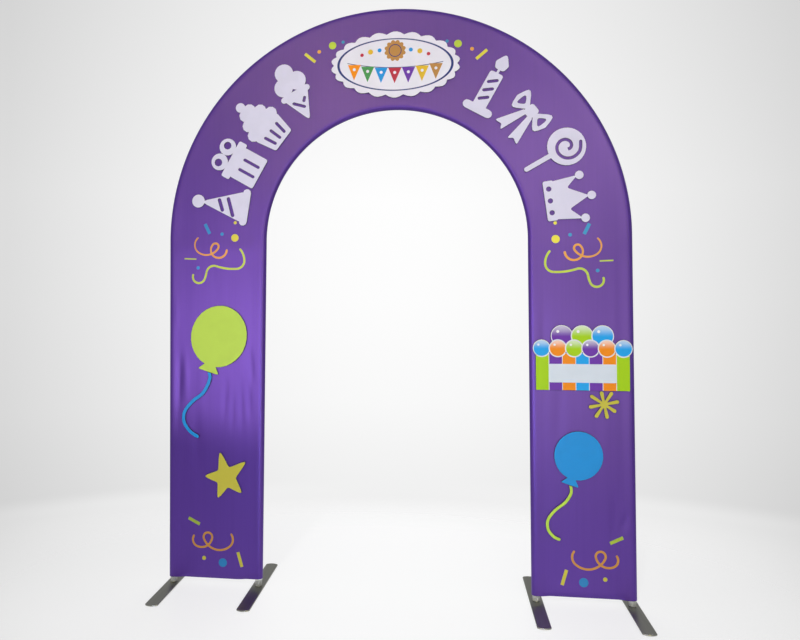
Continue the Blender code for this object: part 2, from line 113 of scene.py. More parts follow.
# What a user would change


def colour_setting(name, description, default):
    return FloatVectorProperty(
        name=name, description=description, default=default, subtype="COLOR", size=3, min=0.0, max=1.0
    )


def length_setting(name, description, default):
    return FloatProperty(name=name, description=description, default=default, min=0.0, unit="LENGTH")


def share_setting(name, description, default):
    return FloatProperty(name=name, description=description, default=default, min=0.0)


class ArchClothSettings(bpy.types.PropertyGroup):
    cloth: colour_setting("Cloth", "Colour that the stretch cloth is dyed", (0.088, 0.025, 0.3))
    deep: colour_setting("Deep cloth", "Colour where the knit is closest", (0.08, 0.022, 0.272))
    lime: colour_setting("Lime ink", "Print colour of the wavy streamers", (0.34, 0.44, 0.04))
    yellow: colour_setting("Yellow ink", "Print colour of the yellow confetti", (0.52, 0.47, 0.042))
    blue: colour_setting("Blue ink", "Print colour of the blue confetti", (0.008, 0.19, 0.46))
    orange: colour_setting("Orange ink", "Print colour of the looped streamers", (0.53, 0.24, 0.04))
    thickness: length_setting("Cloth thickness", "Thickness of the doubled knit", 0.0012)
    fold_scale: share_setting("Folds", "Depth of every fold, as a share of the real one", 1.0)


class ArchBoardSettings(bpy.types.PropertyGroup):
    lavender: colour_setting("Lavender", "Colour of the party shapes", (0.81, 0.77, 0.94))
    white: colour_setting("White", "Colour of the plaque's face", (0.92, 0.88, 0.97))
    card: colour_setting("Card", "Colour of the card to write on", (0.77, 0.84, 0.93))
    lime: colour_setting("Lime", "Colour of lime boards", (0.58, 0.8, 0.085))
    sign: colour_setting("Sign lime", "Colour of the lime print on the party board", (0.42, 0.71, 0.0))
    sky: colour_setting("Sign blue", "Colour of the blue print on the party board", (0.0, 0.4, 0.93))
    yellow: colour_setting("Yellow", "Colour of the star and the flower", (0.64, 0.57, 0.062))
    blue: colour_setting("Blue", "Colour of blue boards", (0.006, 0.318, 0.8))
    orange: colour_setting("Orange", "Colour of orange print", (1.0, 0.29, 0.0))
    purple: colour_setting("Purple", "Colour of purple print", (0.16, 0.03, 0.43))
    navy: colour_setting("Navy", "Colour of the plaque's fine lines", (0.015, 0.03, 0.2))
    tan: colour_setting("Tan", "Colour of the plaque's rosette", (0.56, 0.26, 0.07))
    gold: colour_setting("Gold", "Colour of yellow print", (0.85, 0.52, 0.03))
    green: colour_setting("Green", "Colour of green print", (0.06, 0.33, 0.09))
    red: colour_setting("Red", "Colour of red print", (0.56, 0.02, 0.06))
    # Painted shade: the boards' edges are painted dark to stand in for the thin shadow round each raised
    # board.
    cut: colour_setting("Cut edges", "Colour of the boards' cut edges", (0.05, 0.025, 0.12))
    edge: length_setting("Rounded edge", "Radius of the boards' front edges", 0.001)


class ArchMetalSettings(bpy.types.PropertyGroup):
    foot: colour_setting("Feet", "Colour of the flat steel feet", (0.3, 0.3, 0.27))
    spigot: colour_setting("Spigots", "Colour of the plated spigots", (0.93, 0.94, 0.95))
    tube: colour_setting("Tubes", "Colour of the aluminium tubes", (0.72, 0.73, 0.74))
    edge: length_setting("Rounded edge", "Radius of the feet's edges", 0.001)


class ArchStageSettings(bpy.types.PropertyGroup):
    lamps: share_setting("Lamps", "Brightness of every lamp, as a share of the set one", 1.0)
    air: share_setting("Air", "Brightness of the even light from all round", 0.47)


# Shader maths


class Value:
    """An output of a shader node. Arithmetic on it adds Math nodes."""

    def __init__(self, shader, socket):
        self.shader = shader
        self.socket = socket

    def math(self, operation, *others):
        return self.shader.math(operation, self, *others)

    def __add__(self, other):
        return self.math("ADD", other)

    __radd__ = __add__

    def __sub__(self, other):
        return self.math("SUBTRACT", other)

    def __rsub__(self, other):
        return self.shader.math("SUBTRACT", other, self)

    def __mul__(self, other):
        return self.math("MULTIPLY", other)

    __rmul__ = __mul__

    def __truediv__(self, other):
        return self.math("DIVIDE", other)

    def __abs__(self):
        return self.math("ABSOLUTE")

    def __lt__(self, other):
        return self.math("LESS_THAN", other)

    def __gt__(self, other):
        return self.math("GREATER_THAN", other)

    def least(self, other):
        return self.math("MINIMUM", other)

    def most(self, other):
        return self.math("MAXIMUM", other)


class Shader:
    """One material's node tree."""

    def __init__(self, name, **fixed):
        """`fixed` sets the surface's own sockets, with _ for a space, such as sheen_weight."""
        self.material = bpy.data.materials.new(name)
        self.material.use_nodes = True
        self.tree = self.material.node_tree
        self.surface = self.tree.nodes["Principled BSDF"]
        self.colour = None
        for socket, value in fixed.items():
            self.surface.inputs[socket_name(socket)].default_value = value

    def node(self, kind, settings, inputs, output=0):
        """Adds a node with its settings, then the values or links of its inputs, and returns one output."""
        made = self.tree.nodes.new(kind)
        for name, value in settings.items():
            if name == "stops":
                set_stops(made.color_ramp, value)
            else:
                setattr(made, name, value)
        for name, value in inputs.items():
            self.feed(made.inputs[name], value)
        return Value(self, made.outputs[output])

    def feed(self, socket, value):
        if isinstance(value, Value):
            self.tree.links.new(value.socket, socket)
        else:
            socket.default_value = value

    def drive(self, **inputs):
        """Links values to the surface's own sockets."""
        for name, value in inputs.items():
            self.feed(self.surface.inputs[socket_name(name)], value)

    def math(self, operation, *values):
        return self.node("ShaderNodeMath", {"operation": operation}, dict(enumerate(values)))

    def vector_math(self, operation, *values, output=0):
        return self.node("ShaderNodeVectorMath", {"operation": operation}, dict(enumerate(values)), output)

    def place(self):
        """The point in the object's own coordinates."""
        return self.node("ShaderNodeTexCoord", {}, {}, "Object")

    def split(self, vector):
        made = self.node("ShaderNodeSeparateXYZ", {}, {0: vector})
        return [Value(self, socket) for socket in made.socket.node.outputs]

    def join(self, x, y, z):
        return self.node("ShaderNodeCombineXYZ", {}, {0: x, 1: y, 2: z})

    def noise(self, vector, scale, detail=2.0, roughness=0.5):
        inputs = {"Vector": vector, "Scale": scale, "Detail": detail, "Roughness": roughness}
        return self.node("ShaderNodeTexNoise", {}, inputs)

    def mix(self, factor, first, second):
        """The second colour where the factor is 1, and the first where it is 0."""
        colours = [value if isinstance(value, Value) else (*value, 1.0) for value in (first, second)]
        return self.node(
            "ShaderNodeMix", {"data_type": "RGBA"}, {0: factor, 6: colours[0], 7: colours[1]}, 2
        )

    def ease(self, value, low, high):
        """0 below low and 1 above high, with a smooth step between."""
        inputs = {"Value": value, "From Min": low, "From Max": high}
        return self.node("ShaderNodeMapRange", {"interpolation_type": "SMOOTHSTEP"}, inputs)

    def bump(self, height, strength, distance):
        return self.node("ShaderNodeBump", {}, {"Height": height, "Strength": strength, "Distance": distance})

    def cover_with(self, distance, colour, softness=0.0005):
        """Lays ink over the surface colour wherever the distance to the drawn shape is below 0."""
        inside = self.ease(distance, softness, -softness)
        self.colour = self.mix(inside, self.colour, colour)


def socket_name(word):
    return word.replace("_", " ").title().replace("Ior", "IOR")


def set_stops(ramp, stops):
    """Sets the ramp's greys, each at its place from 0 to 1."""
    while len(ramp.elements) > len(stops):
        ramp.elements.remove(ramp.elements[-1])
    while len(ramp.elements) < len(stops):
        ramp.elements.new(1.0)
    for element, (position, level) in zip(ramp.elements, stops):
        element.position = position
        element.color = (level, level, level, 1.0)


# Drawing on a flat face: each shape is a signed distance in the face's own x and z, below 0 inside the shape


class Drawing:
    """Shapes drawn about a point of a flat face. `x` and `z` are the face's coordinates in metres."""

    def __init__(self, shader, x, z):
        self.shader = shader
        self.x = x
        self.z = z
        self.point = shader.join(x, 0.0, z)

    def dot(self, x, z, radius):
        return self.shader.vector_math("DISTANCE", self.point, (x, 0.0, z), output="Value") - radius

    def along(self, start_x, start_z, angle):
        """Distances from a start point along a direction and to its left."""
        offset = self.shader.vector_math("SUBTRACT", self.point, (start_x, 0.0, start_z))
        ahead = (math.cos(angle), 0.0, math.sin(angle))
        left = (-math.sin(angle), 0.0, math.cos(angle))
        return [self.shader.vector_math("DOT_PRODUCT", offset, way, output="Value") for way in (ahead, left)]

    def bar(self, start, end, width):
        dx, dz = end[0] - start[0], end[1] - start[1]
        middle_x, middle_z = (start[0] + end[0]) / 2, (start[1] + end[1]) / 2
        ahead, left = self.along(middle_x, middle_z, math.atan2(dz, dx))
        return (abs(ahead) - math.hypot(dx, dz) / 2).most(abs(left) - width / 2)

    def bend(self, centre, radius, middle_angle, half_sweep, half_width):
        """Part of a circle's line, as wide as the pen."""
        offset = self.shader.vector_math("SUBTRACT", self.point, (centre[0], 0.0, centre[1]))
        reach = self.shader.vector_math("LENGTH", offset, output="Value")
        way = (math.cos(middle_angle), 0.0, math.sin(middle_angle))
        forward = self.shader.vector_math("DOT_PRODUCT", offset, way, output="Value")
        line = abs(reach - radius) - half_width
        if half_sweep >= math.pi:
            return line
        return line.most(reach * math.cos(half_sweep) - forward)

    def shape(self, shape):
        if isinstance(shape, Dot):
            return self.dot(shape.x, shape.z, shape.radius)
        if isinstance(shape, Bar):
            return self.bar(shape.start, shape.end, shape.width)
        return self.streamer(shape)

    def streamer(self, streamer):
        """A pen line of smooth bends, each a radius and a turn in degrees, left turns positive."""
        point = Vector((streamer.x, streamer.z))
        heading = math.radians(streamer.heading)
        half_width = streamer.width / 2 + (self.x - streamer.x) * streamer.growth
        shape = self.dot(streamer.x, streamer.z, streamer.width / 2)
        for radius, turn in streamer.bends:
            turn = math.radians(turn)
            inward = heading + math.copysign(math.pi / 2, turn)
            centre = point + radius * Vector((math.cos(inward), math.sin(inward)))
            middle_angle = inward + math.pi + turn / 2
            piece = self.bend(centre, radius, middle_angle, abs(turn) / 2, half_width)
            shape = shape.least(piece)
            heading += turn
            outward = inward + math.pi + turn
            point = centre + radius * Vector((math.cos(outward), math.sin(outward)))
        offset = self.shader.vector_math("DISTANCE", self.point, (point.x, 0.0, point.y), output="Value")
        return shape.least(offset - half_width)


# The printed confetti. Every group is drawn for the left of its middle line and mirrored to the right, where
# it stands a little off. x is the distance from that line, so a heading of 0 degrees points outwards

Streamer = namedtuple("Streamer", "ink x z heading width growth bends")
Dot = namedtuple("Dot", "ink x z radius")
Bar = namedtuple("Bar", "ink start end width")
Group = namedtuple("Group", "middle_x shift_x shift_z shapes")

HEADER_PRINT = Group(
    middle_x=0.0145,
    shift_x=0.0,
    shift_z=-0.016,
    shapes=(
        Dot("orange", 0.304, 2.145, 0.0075),
        Dot("blue", 0.207, 2.18, 0.0065),
        Dot("lime", 0.2495, 2.168, 0.015),
        Bar("yellow", (0.362, 2.139), (0.32, 2.104), 0.012),
    ),
)
UPPER_PRINT = Group(
    middle_x=0.0,
    shift_x=-0.006,
    shift_z=-0.019,
    shapes=(
        Dot("blue", 0.69, 1.413, 0.007),
        Dot("blue", 0.79, 1.276, 0.007),
        Dot("yellow", 0.635, 1.459, 0.0065),
        Dot("yellow", 0.636, 1.397, 0.0155),
        Bar("blue", (0.762, 1.455), (0.742, 1.415), 0.013),
        Bar("lime", (0.848, 1.314), (0.798, 1.312), 0.0055),
        Streamer(
            "orange", 0.792, 1.398, -42.0, 0.0065, -0.01,
            ((0.038, -105.0), (0.059, -89.0), (0.0135, -168.0), (0.032, -99.0), (0.034, -120.0)),
        ),
        Streamer(
            "lime", 0.613, 1.35, 229.0, 0.0085, 0.0,
            ((0.069, 42.0), (0.033, 86.0), (0.24, 21.0), (0.031, -99.0), (0.12, 14.0), (0.026, 173.0)),
        ),
    ),
)
LOWER_PRINT = Group(
    middle_x=0.0,
    shift_x=0.043,
    shift_z=-0.0065,
    shapes=(
        Dot("yellow", 0.756, 0.108, 0.008),
        Dot("blue", 0.678, 0.093, 0.017),
        Bar("lime", (0.822, 0.265), (0.775, 0.242), 0.0125),
        Bar("yellow", (0.616, 0.137), (0.599, 0.08), 0.0125),
        Streamer(
            "orange", 0.799, 0.195, -58.0, 0.0085, 0.0,
            (
                (0.028, -99.0), (0.046, -103.0), (0.018, -213.0),
                (0.071, -34.0), (0.068, -74.0), (0.035, -85.0),
            ),
        ),
    ),
)


def print_group(shader, group, x, z, inks):
    """Draws a group of confetti on the cloth, one ink after the other."""
    offset = x - (ARCH_X + group.middle_x)
    on_right = offset > 0.0
    drawing = Drawing(shader, abs(offset) - on_right * group.shift_x, z - on_right * group.shift_z)
    inked = {}
    for shape in group.shapes:
        outline = drawing.shape(shape)
        inked[shape.ink] = inked[shape.ink].least(outline) if shape.ink in inked else outline
    for ink, outline in inked.items():
        shader.cover_with(outline, getattr(inks, ink))


# Materials


KNIT_RIBS = (2400.0, 2000.0)
PULLED_THREADS = (160.0, 2.0)


def cloth_material(settings):
    """Satin stretch knit, printed on its front."""
    shader = Shader("printed_stretch_cloth", roughness=0.45, metallic=0.35)
    place = shader.place()
    x, y, z = shader.split(place)
    clouds = shader.noise(place, 2.4, 3.0)
    across, along = PULLED_THREADS
    streaks = shader.noise(shader.join(x * across, y * across, z * along), 1.0, 2.0)
    tone = shader.ease(clouds * 0.6 + streaks * 0.4, 0.3, 0.7)
    plain = shader.mix(tone, settings.deep, settings.cloth)
    shader.colour = plain
    for group in (HEADER_PRINT, UPPER_PRINT, LOWER_PRINT):
        print_group(shader, group, x, z, settings)
    shader.drive(
        base_color=shader.mix(y < 0.0, plain, shader.colour),
        normal=knit_bump(shader, x, z, streaks),
    )
    return shader.material


def knit_bump(shader, x, z, streaks):
    """The loops of the knit, with a few threads pulled tighter than the rest."""
    across, along = KNIT_RIBS
    ribs = (x * across).math("SINE") * (z * along).math("SINE")
    return shader.bump(ribs * 0.3 + streaks, 0.1, 0.0006)


def lining_material(settings):
    """The cloth's unprinted inside."""
    shader = Shader("cloth_inside", roughness=0.8, sheen_weight=0.2)
    tone = shader.ease(shader.noise(shader.place(), 6.0), 0.3, 0.7)
    shader.drive(base_color=shader.mix(tone, settings.deep, settings.cloth))
    return shader.material


def board_material(name, colour):
    """Foam board with a printed satin face."""
    shader = Shader(name, roughness=0.5, specular_ior_level=0.2)
    place = shader.place()
    mottle = shader.ease(shader.noise(place, 18.0, 3.0), 0.35, 0.65)
    paler = [channel * 0.97 for channel in colour]
    shader.colour = shader.mix(mottle, paler, colour)
    grain = shader.noise(place, 900.0, 1.0)
    shader.drive(base_color=shader.colour, normal=shader.bump(grain, 0.08, 0.0003))
    return shader


def plain_board(name, colour, settings):
    """The materials of a board in one colour: its face, and its edges painted dark as shade."""
    return [board_material(name, colour).material, painted_shade_edge_material(settings)]


def painted_shade_edge_material(settings):
    """The boards' edges, painted dark as the shade round each raised board, and a little rough from the saw.
    """
    shader = Shader("cut_board_edge", roughness=0.75)
    grain = shader.noise(shader.place(), 300.0, 3.0)
    paler = [channel * 1.5 for channel in settings.cut]
    shader.drive(
        base_color=shader.mix(shader.ease(grain, 0.3, 0.7), settings.cut, paler),
        normal=shader.bump(grain, 0.3, 0.0004),
    )
    return shader.material


class BoardDrawing(Drawing):
    """Shapes of the printed boards, about a board's own middle."""

    def oval(self, half_width, half_height):
        """Distance to an oval, near enough close to its line."""
        x, z = self.x / half_width, self.z / half_height
        return ((x * x + z * z).math("SQRT") - 1.0) * half_height

    def pennant(self, x, z, half_width, drop):
        """A triangle that hangs from its top edge."""
        slope = math.hypot(half_width, drop)
        across, down = abs(self.x - x), self.z * -1.0 + z
        sides = (across * drop + down * half_width - half_width * drop) / slope
        return sides.most(down * -1.0)

    def rosette(self, x, z, radius, depth, petals):
        dx, dz = self.x - x, self.z - z
        turn = dz.math("ARCTAN2", dx)
        wave = abs((turn * (petals / 2)).math("SINE")) * depth
        return (dx * dx + dz * dz).math("SQRT") - wave - (radius - depth)


# The plaque's drawing, about the board's middle. Each spot is an ink, x, z and radius, drawn on both sides
PLAQUE_TURN = math.radians(-1.2)
PLAQUE_OVAL = (0.226, 0.103)
STRING_BOW = 0.55
STRING_HALF = 0.19
PENNANTS = ("orange", "green", "blue", "red", "purple", "gold", "tan")
PENNANT_STEP = 0.054
PENNANT_SIZE = (0.026, 0.062)
ROSETTE_Z = 0.056
PLAQUE_SPOTS = (
    ("blue", 0.062, 0.058, 0.008),
    ("gold", 0.098, 0.052, 0.01),
    ("red", 0.132, 0.04, 0.007),
)


def plaque_material(settings):
    """White board with a fine oval line, a string of pennants and a rosette."""
    shader = board_material("plaque_print", settings.white)
    drawing = drawing_on(shader, "header_plaque", PLAQUE_TURN)
    shader.cover_with(abs(drawing.oval(*PLAQUE_OVAL)) - 0.0022, settings.navy)
    string = abs(drawing.z - (drawing.x * drawing.x * STRING_BOW - 0.012)) - 0.0014
    shader.cover_with(string.most(abs(drawing.x) - STRING_HALF), settings.navy)
    for i, ink in enumerate(PENNANTS):
        x = PENNANT_STEP * (i - 3)
        top = x * x * STRING_BOW - 0.013
        shader.cover_with(drawing.pennant(x, top, *PENNANT_SIZE), getattr(settings, ink))
        shader.cover_with(drawing.dot(x, top - 0.019, 0.006), settings.white)
    shader.cover_with(drawing.rosette(0.0, ROSETTE_Z, 0.043, 0.007, 12), settings.tan)
    shader.cover_with(abs(drawing.dot(0.0, ROSETTE_Z, 0.024)) - 0.0016, settings.navy)
    for side in SIDES:
        for ink, x, z, radius in PLAQUE_SPOTS:
            shader.cover_with(drawing.dot(side * x, z, radius), getattr(settings, ink))
    shader.drive(base_color=shader.colour)
    return shader.material


def drawing_on(shader, node, turn=0.0):
    """A drawing about the middle of a board, turned as the board is."""
    centre = middle(node)
    x, _, z = shader.split(shader.vector_math("SUBTRACT", shader.place(), centre))
    cosine, sine = math.cos(turn), math.sin(turn)
    return BoardDrawing(shader, x * cosine + z * sine, z * cosine - x * sine)


BalloonRow = namedtuple("BalloonRow", "inks first_x step z radius")

# The party board's print, from the middle of its bottom edge
SIGN_BASE = (0.7235, 0.874)
SIGN_WIDTH = 0.345
SIGN_STRIPES = ("sign", "purple", "orange", "sky", "purple", "orange", "sign")
SIGN_ROWS = (
    BalloonRow(("purple", "sign", "sky"), -0.075, 0.075, 0.135, 0.042),
    BalloonRow(("sky", "orange", "sign", "purple", "orange", "sky"), -0.15, 0.06, 0.088, 0.034),
)


def sign_material(settings):
    """Stripes behind two rows of glossy balloons with white rims."""
    shader = board_material("party_board_print", settings.sign)
    base = (ARCH_X + SIGN_BASE[0], 0.0, SIGN_BASE[1])
    x, _, z = shader.split(shader.vector_math("SUBTRACT", shader.place(), base))
    drawing = BoardDrawing(shader, x, z)
    width = SIGN_WIDTH / len(SIGN_STRIPES)
    for i, ink in enumerate(SIGN_STRIPES):
        stripe = abs(x - width * (i - 3)) - width / 2
        shader.cover_with(stripe, getattr(settings, ink))
    for i in range(1, len(SIGN_STRIPES)):
        shader.cover_with(abs(x - width * (i - 3.5)) - 0.0012, settings.white)
    for row in SIGN_ROWS:
        for i, ink in enumerate(row.inks):
            balloon_x = row.step * i + row.first_x
            paint_balloon(shader, drawing, balloon_x, row.z, row.radius, getattr(settings, ink))
    shader.drive(base_color=shader.colour)
    return shader.material


BALLOON_RIM = 0.0045
BALLOON_RIM_COLOUR = (0.84, 0.84, 0.87)
BALLOON_SPOT_COLOUR = (0.95, 0.95, 0.97)


def paint_balloon(shader, drawing, x, z, radius, ink):
    """A round balloon with a white rim, a paler top and a bright spot."""
    shader.cover_with(drawing.dot(x, z, radius), BALLOON_RIM_COLOUR)
    pale = [channel + (1 - channel) * 0.55 for channel in ink]
    fade = shader.ease(drawing.z, z - 0.1 * radius, z + 0.9 * radius)
    shader.cover_with(drawing.dot(x, z, radius - BALLOON_RIM), shader.mix(fade, ink, pale))
    shader.cover_with(drawing.dot(x - 0.35 * radius, z + 0.4 * radius, 0.13 * radius), BALLOON_SPOT_COLOUR)


def metal_material(name, colour, roughness, stretch, metallic=1.0):
    """Satin metal with fine scratches. `stretch` is how many times closer they lie along each axis."""
    shader = Shader(name, metallic=metallic)
    fine = shader.vector_math("MULTIPLY", shader.place(), stretch)
    scratches = shader.noise(fine, 40.0, 3.0)
    darker = [channel * 0.8 for channel in colour]
    shader.drive(
        base_color=shader.mix(shader.ease(scratches, 0.3, 0.7), darker, colour),
        roughness=scratches * 0.2 + (roughness - 0.1),
        normal=shader.bump(scratches, 0.06, 0.0003),
    )
    return shader.material


# Finished pieces


def add_piece(name, bm, materials, slot, replaced):
    """Puts a piece in the scene under the root, and hides the CAD nodes that it stands for."""
    mesh = bpy.data.meshes.new(name)
    bm.to_mesh(mesh)
    bm.free()
    for material in materials:
        mesh.materials.append(material)
    piece = bpy.data.objects.new(name, mesh)
    bpy.context.scene.collection.objects.link(piece)
    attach(piece, "root")
    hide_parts(*replaced)
    return piece


def repaint(node, material):
    """Gives a CAD node that stays a better material."""
    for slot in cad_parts[node].material_slots:
        slot.material = material


def skin_of(node):
    """The node's mesh as one closed skin of flat faces."""
    bm = bmesh.new()
    bm.from_mesh(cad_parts[node].data)
    bmesh.ops.remove_doubles(bm, verts=bm.verts, dist=1e-5)
    bmesh.ops.dissolve_limit(bm, angle_limit=math.radians(1), verts=bm.verts, edges=bm.edges)
    return bm


def soften(bm, outward, radius):
    """Rounds the rims of the flat faces that look outward, in two steps."""
    faces = [face for face in bm.faces if face.normal.dot(outward) > 0.99]
    slight = radius * (1 - math.cos(math.radians(45)))
    first = bmesh.ops.inset_region(bm, faces=faces, thickness=slight, use_even_offset=True)["faces"]
    second = bmesh.ops.inset_region(bm, faces=faces, thickness=radius - slight, use_even_offset=True)["faces"]
    outer = {vert for face in first for vert in face.verts}
    inner = {vert for face in second for vert in face.verts}
    for vert in outer - inner:
        vert.co -= radius * outward
    for vert in outer & inner:
        vert.co -= slight * outward
    return faces


SHARPEST_SMOOTH = math.radians(50)


def softened(name, node, outward, radius, materials, slot):
    """A copy of a flat board or bar with rounded rims on the sides that look along `outward`.

    The first material covers those sides, and the last one the rims and all the rest.
    """
    bm = skin_of(node)
    flat = {face for way in outward for face in soften(bm, Vector(way), radius)}
    for face in bm.faces:
        face.smooth = face not in flat
        face.material_index = 0 if face in flat else len(materials) - 1
    for edge in bm.edges:
        edge.smooth = edge.calc_face_angle(0.0) < SHARPEST_SMOOTH
    return add_piece(name, bm, materials, slot, [node])


# The sleeve

Station = namedtuple("Station", "outer inner outward height")
Column = namedtuple("Column", "part value")
Fold = namedtuple("Fold", "x z lean reach width depth")

ROUND_STEPS = 10
FRONT_STEPS = 42
BACK_STEPS = 24
AROUND = 2 * ROUND_STEPS + FRONT_STEPS + BACK_STEPS
HEM_ROWS = (0.0, 0.002, 0.0045, 0.008, 0.012, 0.017)
LEG_ROWS = 136
ARC_ROWS = 190
# The hem: its least share of the full thickness, how square its roll is, and its pull at the left inner tube
HEM_LEAST = 0.78
HEM_CURVE = 2.6
INNER_HEM_LIFT = 0.007
# How far the slack cloth lies behind the tubes, how much that varies, and how far a rail holds it forward
SLACK = 0.0009
SLACK_CHANGE = 0.0004
RAIL_HOLD = 0.035
# Stands for any height far above the hem
ABOVE_HEM = 9.0
# The columns that are sewn front to back at the hem. The rest closes round the spigots, with a little play
OPEN_FRONT = (4, FRONT_STEPS - 4)
OPEN_BACK = (2, BACK_STEPS - 2)
HOLE_REACH = 0.08
HOLE_GAP = 0.0003

# Soft folds of the stretched front. A positive depth is a trough, a negative one a ridge. Lean is in degrees
# from upright, towards +x
FOLDS = [Fold(*row) for row in (
    (-0.868, 0.8, 1.5, 0.16, 0.009, 0.0034),
    (-0.838, 0.82, -1.0, 0.16, 0.012, -0.0016),
    (-0.884, 1.09, 0.0, 0.1, 0.009, -0.002),
    (-0.874, 0.64, 4.0, 0.1, 0.008, 0.0018),
    (-0.79, 0.58, -2.0, 0.18, 0.02, 0.0014),
    (-0.672, 0.74, 3.0, 0.13, 0.01, 0.0014),
    (-0.64, 0.69, 2.0, 0.12, 0.01, 0.0016),
    (-0.606, 0.72, -1.0, 0.14, 0.011, 0.0018),
    (-0.574, 0.74, -3.0, 0.13, 0.009, 0.0016),
    (-0.566, 0.88, -6.0, 0.11, 0.01, 0.0018),
    (-0.88, 0.29, -22.0, 0.05, 0.008, -0.0018),
    (-0.86, 0.235, -35.0, 0.05, 0.009, 0.0014),
    (0.64, 0.72, 0.0, 0.18, 0.02, 0.001),
    (0.874, 0.321, 24.0, 0.06, 0.01, 0.0016),
    (0.892, 0.289, 30.0, 0.05, 0.009, -0.0016),
    (0.838, 0.34, 2.0, 0.12, 0.016, 0.001),
    (0.58, 1.02, 1.0, 0.2, 0.014, 0.001),
)]


def ease(value, low, high):
    share = min(1.0, max(0.0, (value - low) / (high - low)))
    return share * share * (3 - 2 * share)


def leg_point(hoop, side, z):
    """The point of a leg at height z, on the straight line from its foot to its springing."""
    top_x = hoop.centre_x + side * hoop.radius
    return Vector((top_x + (hoop.foot_x[side] - top_x) * (1 - z / hoop.spring_z), 0.0, z))


def arc_point(hoop, outward):
    return Vector((hoop.centre_x, 0.0, hoop.spring_z)) + hoop.radius * outward


def leg_stations(side):
    """The sections of one leg, from its hem up to the springing."""
    full = OUTER_HOOP.spring_z - HEM_Z
    step = (full - HEM_ROWS[-1]) / LEG_ROWS
    heights = [*HEM_ROWS, *(HEM_ROWS[-1] + step * (i + 1) for i in range(LEG_ROWS))]
    shorter = (INNER_HOOP.spring_z - HEM_Z) / full
    outward = Vector((side, 0.0, 0.0))
    stations = []
    for height in heights:
        outer = leg_point(OUTER_HOOP, side, HEM_Z + height)
        inner = leg_point(INNER_HOOP, side, HEM_Z + height * shorter)
        stations.append(Station(outer, inner, outward, height))
    return stations


def arc_stations():
    stations = []
    for row in range(1, ARC_ROWS):
        angle = math.pi * (1 - row / ARC_ROWS)
        outward = Vector((math.cos(angle), 0.0, math.sin(angle)))
        outer, inner = arc_point(OUTER_HOOP, outward), arc_point(INNER_HOOP, outward)
        stations.append(Station(outer, inner, outward, ABOVE_HEM))
    return stations


def section_columns():
    """The columns round one section, from the outermost line over the front to the inner tube and back."""
    half = ROUND_STEPS // 2
    columns = [Column("outer", -90 * i / half) for i in range(half)]
    columns += [Column("front", i / FRONT_STEPS) for i in range(FRONT_STEPS)]
    columns += [Column("inner", 180 * i / ROUND_STEPS - 90) for i in range(ROUND_STEPS)]
    columns += [Column("back", 1 - i / BACK_STEPS) for i in range(BACK_STEPS)]
    columns += [Column("outer", 90 - 90 * i / half) for i in range(half + 1)]
    return columns


def hem_roll(height):
    """Share of the full thickness at a height above the hem, where the cloth rolls under the rail."""
    left = 1 - min(1.0, height / HEM_ROWS[-1])
    return max(HEM_LEAST, (1 - left**HEM_CURVE) ** (1 / HEM_CURVE))


def drawn_in(x, z, share, side, scale):
    """How far the cloth lies behind the plane over the tubes. It meets that plane at the tubes and rails."""
    near_tube = min(share, 1 - share)
    free = ease(near_tube, 0.0, 0.1)
    for rail_z in (RAIL_Z, SPRING_BAR_Z):
        free *= 1 - math.exp(-(((z - rail_z) / RAIL_HOLD) ** 2))
    swell = noise.noise(Vector((x * 7.0, side * 3.0, z * 3.0)))
    ripple = noise.noise(Vector((x * 34.0, side * 5.0, z * 2.6)))
    depth = SLACK + SLACK_CHANGE * swell + SLACK_CHANGE * ripple
    if side < 0:
        depth += fold_depth(x, z)
    return scale * free * depth


def fold_depth(x, z):
    """The depth of all folds at a point. Each is a bell across and fades out along its length."""
    total = 0.0
    for fold in FOLDS:
        lean = math.radians(fold.lean)
        dx, dz = x - ARCH_X - fold.x, z - fold.z
        along = dz * math.cos(lean) + dx * math.sin(lean)
        across = dx * math.cos(lean) - dz * math.sin(lean)
        if abs(along) < fold.reach:
            bell = math.exp(-((across / fold.width) ** 2))
            total += fold.depth * bell * math.cos(math.pi / 2 * along / fold.reach) ** 2
    return total


def hem_lift(outward, share, height):
    """How far the left leg's hem is pulled up at its inner tube."""
    if outward.x > -0.5:
        return 0.0
    return INNER_HEM_LIFT * ease(share, 0.75, 1.0) * (1 - ease(height, 0.0, 0.1))


def flat_point(station, share, side, scale):
    """A point of the cloth between the tubes. side is -1 on the front and 1 on the back."""
    point = station.outer.lerp(station.inner, share)
    point.z += hem_lift(station.outward, share, station.height)
    between = ease(min(share, 1 - share), 0.03, 0.16)
    thickness = COVER_RADIUS * (1 - between * (1 - hem_roll(station.height)))
    point.z += HEM_RISE / 3 * between * (1 - ease(station.height, 0.01, 0.1))
    point.y = side * (thickness - drawn_in(point.x, point.z, share, side, scale))
    return point


def round_point(centre, outward, turn):
    """A point of the cloth on a tube, turned from the outermost line towards the back."""
    turn = math.radians(turn)
    return centre + COVER_RADIUS * Vector(
        (outward.x * math.cos(turn), math.sin(turn), outward.z * math.cos(turn))
    )


def sleeve_point(station, column, scale):
    if column.part == "outer":
        return round_point(station.outer, station.outward, column.value)
    if column.part == "inner":
        point = round_point(station.inner, -station.outward, column.value)
        point.z += hem_lift(station.outward, 1.0, station.height)
        return point
    side = -1 if column.part == "front" else 1
    return flat_point(station, column.value, side, scale)


